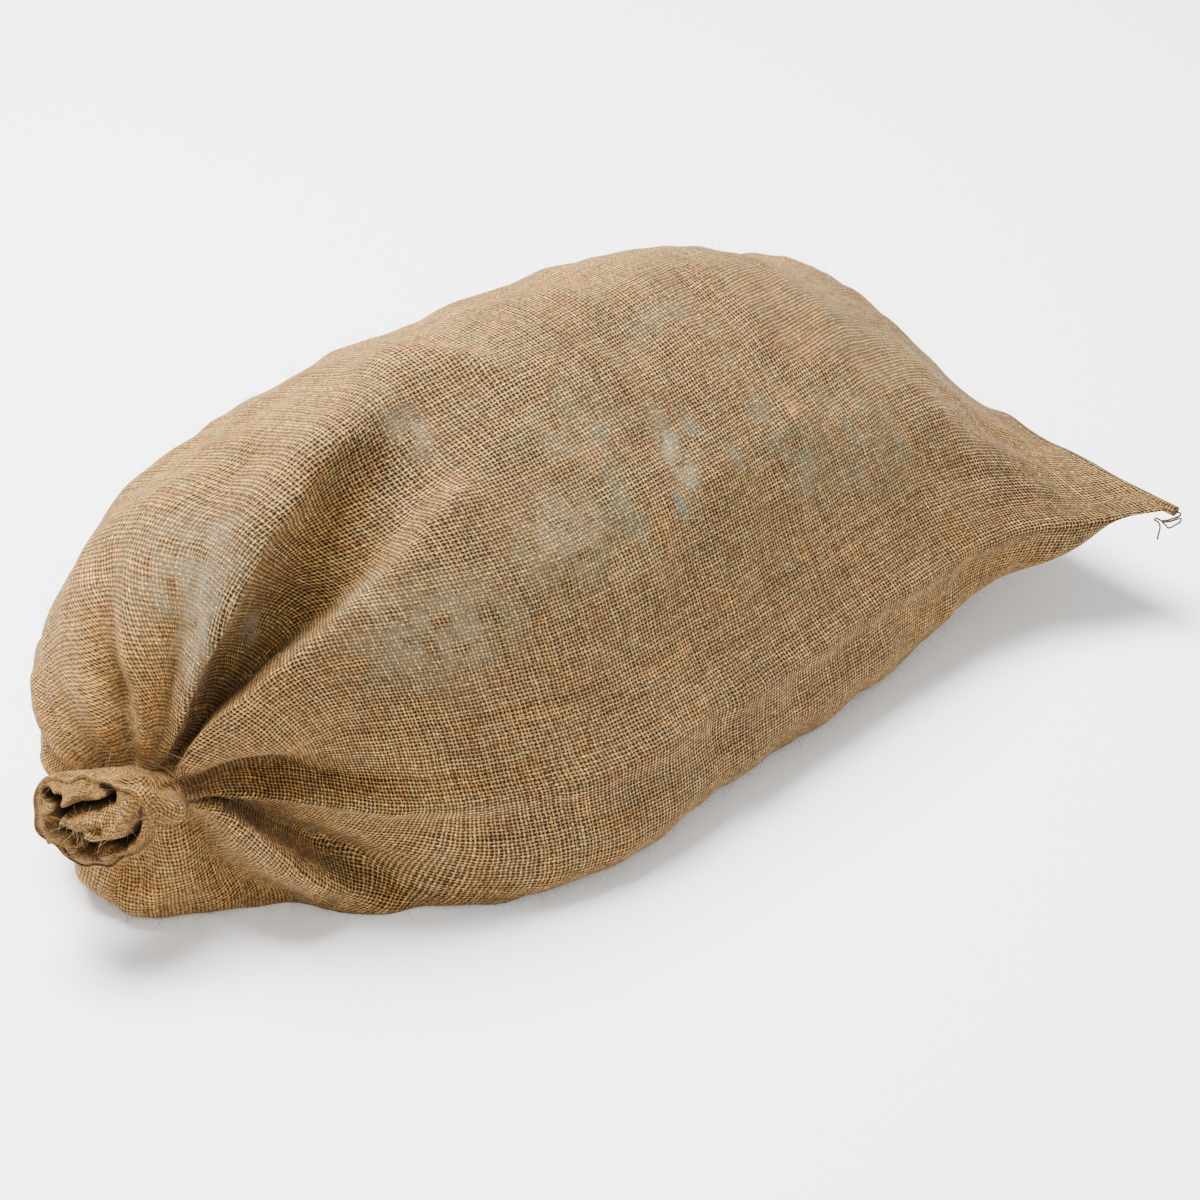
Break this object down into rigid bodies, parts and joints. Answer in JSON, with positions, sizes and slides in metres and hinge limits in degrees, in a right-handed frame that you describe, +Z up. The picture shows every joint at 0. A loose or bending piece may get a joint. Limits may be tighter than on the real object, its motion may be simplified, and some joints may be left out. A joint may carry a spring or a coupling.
{
  "type": "burlap sack",
  "caption": "Softly filled burlap sack lying on its side panel, gathered to a pinched neck with its mouth turned over.",
  "frame": {"origin": "centre of the cloth's bounding box, on the floor that the sack lies on", "axes": "+X from the gathered neck to the bottom seam, +Y to the far side crease, +Z up from the floor"},
  "size_m": [0.7617, 0.4577, 0.3022],
  "materials": {
    "hessian_cloth": "matte",
    "jute_thread": "matte"
  },
  "bodies": {
    "root": {"sack_cloth": "hessian_cloth", "seam_thread": "jute_thread"}
  },
  "joints": []
}
